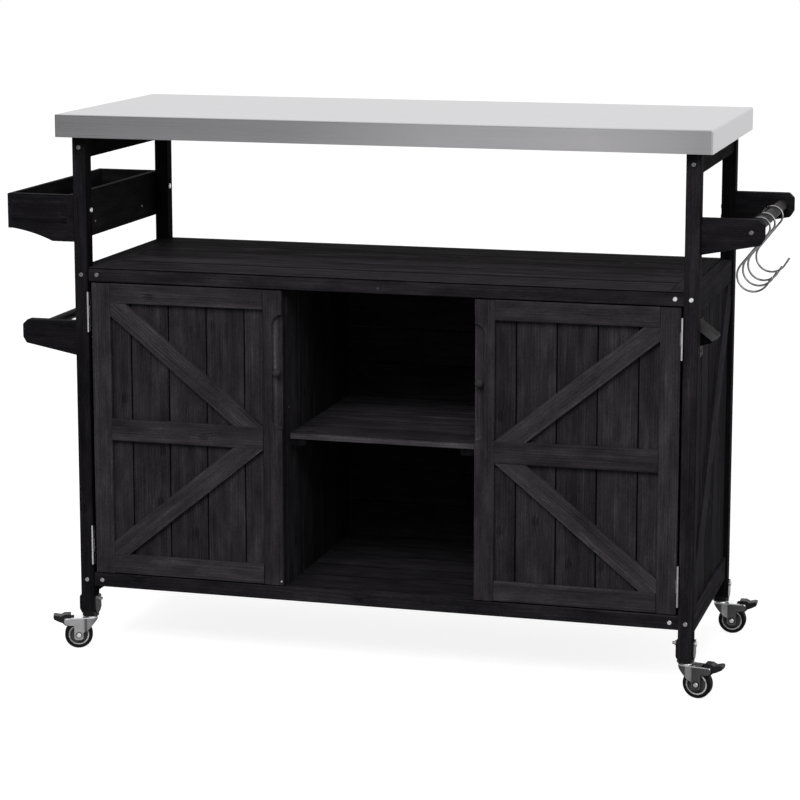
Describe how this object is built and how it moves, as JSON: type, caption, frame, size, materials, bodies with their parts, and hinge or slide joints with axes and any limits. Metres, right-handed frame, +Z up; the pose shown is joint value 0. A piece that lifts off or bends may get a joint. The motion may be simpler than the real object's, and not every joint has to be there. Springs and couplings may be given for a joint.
{
  "type": "grill cart with storage",
  "caption": "Rolling outdoor kitchen cart with a steel worktop on black timber posts, two cupboards beside an open bay, a spice rack, a towel bar and a hook rail.",
  "frame": {"origin": "on the floor, at the centre of the box round the whole cart", "axes": "+X to the right as the doors are faced, +Y to the back, +Z up; the doors face -Y"},
  "size_m": [1.3454, 0.475, 0.965],
  "materials": {
    "black_timber": "opaque black stain on sawn softwood, low sheen",
    "dark_rod": "dark stained round rod, satin",
    "core_board": "plain core board",
    "brushed_steel": "stainless sheet brushed along its length",
    "opener_metal": "dark cast metal, satin",
    "zinc_hardware": "bright zinc plate",
    "black_metal": "black paint, satin",
    "hook_chrome": "polished wire",
    "hub_plastic": "grey moulded plastic",
    "black_tyre": "black tread",
    "black_plastic": "black moulded plastic"
  },
  "bodies": {
    "cart": {"post_front_left": "black_timber", "post_front_right": "black_timber", "post_back_left": "black_timber", "post_back_right": "black_timber", "worktop_rails": "black_timber", "cabinet_front_rails": "black_timber", "cabinet_back_rails": "black_timber", "side_rails": "black_timber", "side_boards": "black_timber", "side_braces": "black_timber", "deck_boards": "black_timber", "cabinet_battens": "black_timber", "floor_boards": "black_timber", "back_boards": "black_timber", "back_battens": "black_timber", "dividers": "black_timber", "shelf_boards": "black_timber", "rack_boards": "black_timber", "rack_ends": "black_timber", "rod_brackets": "black_timber", "towel_rod": "dark_rod", "hook_rod": "dark_rod", "worktop_core": "core_board", "worktop_pan": "brushed_steel", "bottle_opener": "opener_metal", "hinge_fixed_leaves": "zinc_hardware", "wood_screws": "zinc_hardware", "frame_bolts": "zinc_hardware", "caster_brackets": "black_metal"},
    "door_left": {"door_left_frame": "black_timber", "door_left_boards": "black_timber", "door_left_braces": "black_timber", "door_left_knob": "black_metal", "door_left_hinge_leaves": "zinc_hardware"},
    "door_right": {"door_right_frame": "black_timber", "door_right_boards": "black_timber", "door_right_braces": "black_timber", "door_right_knob": "black_metal", "door_right_hinge_leaves": "zinc_hardware"},
    "swivel_1": {"caster_1_fork": "zinc_hardware"},
    "wheel_1": {"caster_1_hub": "hub_plastic", "caster_1_tyre": "black_tyre"},
    "pedal_1": {"caster_1_pedal": "black_plastic"},
    "swivel_2": {"caster_2_fork": "zinc_hardware"},
    "wheel_2": {"caster_2_hub": "hub_plastic", "caster_2_tyre": "black_tyre"},
    "pedal_2": {"caster_2_pedal": "black_plastic"},
    "swivel_3": {"caster_3_fork": "zinc_hardware"},
    "wheel_3": {"caster_3_hub": "hub_plastic", "caster_3_tyre": "black_tyre"},
    "pedal_3": {"caster_3_pedal": "black_plastic"},
    "swivel_4": {"caster_4_fork": "zinc_hardware"},
    "wheel_4": {"caster_4_hub": "hub_plastic", "caster_4_tyre": "black_tyre"},
    "pedal_4": {"caster_4_pedal": "black_plastic"},
    "hook_1": {"s_hook_1": "hook_chrome"},
    "hook_2": {"s_hook_2": "hook_chrome"},
    "hook_3": {"s_hook_3": "hook_chrome"},
    "hook_4": {"s_hook_4": "hook_chrome"}
  },
  "joints": [
    {"name": "door_left_hinge", "type": "hinge", "parent": "cart", "child": "door_left", "pos_m": [-0.52267, -0.217, 0.405], "axis": [0, 0, -1], "range_deg": [0, 170]},
    {"name": "door_right_hinge", "type": "hinge", "parent": "cart", "child": "door_right", "pos_m": [0.53133, -0.217, 0.405], "axis": [0, 0, 1], "range_deg": [0, 170]},
    {"name": "caster_1_swivel", "type": "hinge", "parent": "cart", "child": "swivel_1", "pos_m": [-0.53617, -0.2005, 0.0594], "axis": [0, 0, 1], "continuous": true},
    {"name": "caster_1_roll", "type": "hinge", "parent": "swivel_1", "child": "wheel_1", "pos_m": [-0.55656, -0.20874, 0.025], "axis": [-0.3746, 0.9272, 0], "continuous": true},
    {"name": "caster_1_brake", "type": "hinge", "parent": "swivel_1", "child": "pedal_1", "pos_m": [-0.57696, -0.21698, 0.053], "axis": [0.3746, -0.9272, 0], "range_deg": [0, 20]},
    {"name": "caster_2_swivel", "type": "hinge", "parent": "cart", "child": "swivel_2", "pos_m": [0.54483, -0.2005, 0.0594], "axis": [0, 0, 1], "continuous": true},
    {"name": "caster_2_roll", "type": "hinge", "parent": "swivel_2", "child": "wheel_2", "pos_m": [0.56662, -0.20356, 0.025], "axis": [0.1392, 0.9903, 0], "continuous": true},
    {"name": "caster_2_brake", "type": "hinge", "parent": "swivel_2", "child": "pedal_2", "pos_m": [0.58841, -0.20662, 0.053], "axis": [0.1392, 0.9903, 0], "range_deg": [0, 20]},
    {"name": "caster_3_swivel", "type": "hinge", "parent": "cart", "child": "swivel_3", "pos_m": [-0.53617, 0.2005, 0.0594], "axis": [0, 0, 1], "continuous": true},
    {"name": "caster_3_roll", "type": "hinge", "parent": "swivel_3", "child": "wheel_3", "pos_m": [-0.55817, 0.2005, 0.025], "axis": [0, 1, 0], "continuous": true},
    {"name": "caster_3_brake", "type": "hinge", "parent": "swivel_3", "child": "pedal_3", "pos_m": [-0.58017, 0.2005, 0.053], "axis": [0, -1, 0], "range_deg": [0, 20]},
    {"name": "caster_4_swivel", "type": "hinge", "parent": "cart", "child": "swivel_4", "pos_m": [0.54483, 0.2005, 0.0594], "axis": [0, 0, 1], "continuous": true},
    {"name": "caster_4_roll", "type": "hinge", "parent": "swivel_4", "child": "wheel_4", "pos_m": [0.56683, 0.2005, 0.025], "axis": [0, 1, 0], "continuous": true},
    {"name": "caster_4_brake", "type": "hinge", "parent": "swivel_4", "child": "pedal_4", "pos_m": [0.58883, 0.2005, 0.053], "axis": [0, 1, 0], "range_deg": [0, 20]},
    {"name": "s_hook_1_swing", "type": "hinge", "parent": "cart", "child": "hook_1", "pos_m": [0.64033, -0.1692, 0.796], "axis": [0, 1, 0], "range_deg": [-30, 30]},
    {"name": "s_hook_2_swing", "type": "hinge", "parent": "cart", "child": "hook_2", "pos_m": [0.64033, -0.09964, 0.796], "axis": [0, 1, 0], "range_deg": [-30, 30]},
    {"name": "s_hook_3_swing", "type": "hinge", "parent": "cart", "child": "hook_3", "pos_m": [0.64033, -0.0376, 0.796], "axis": [0, 1, 0], "range_deg": [-30, 30]},
    {"name": "s_hook_4_swing", "type": "hinge", "parent": "cart", "child": "hook_4", "pos_m": [0.64033, 0.0658, 0.796], "axis": [0, 1, 0], "range_deg": [-30, 30]}
  ]
}
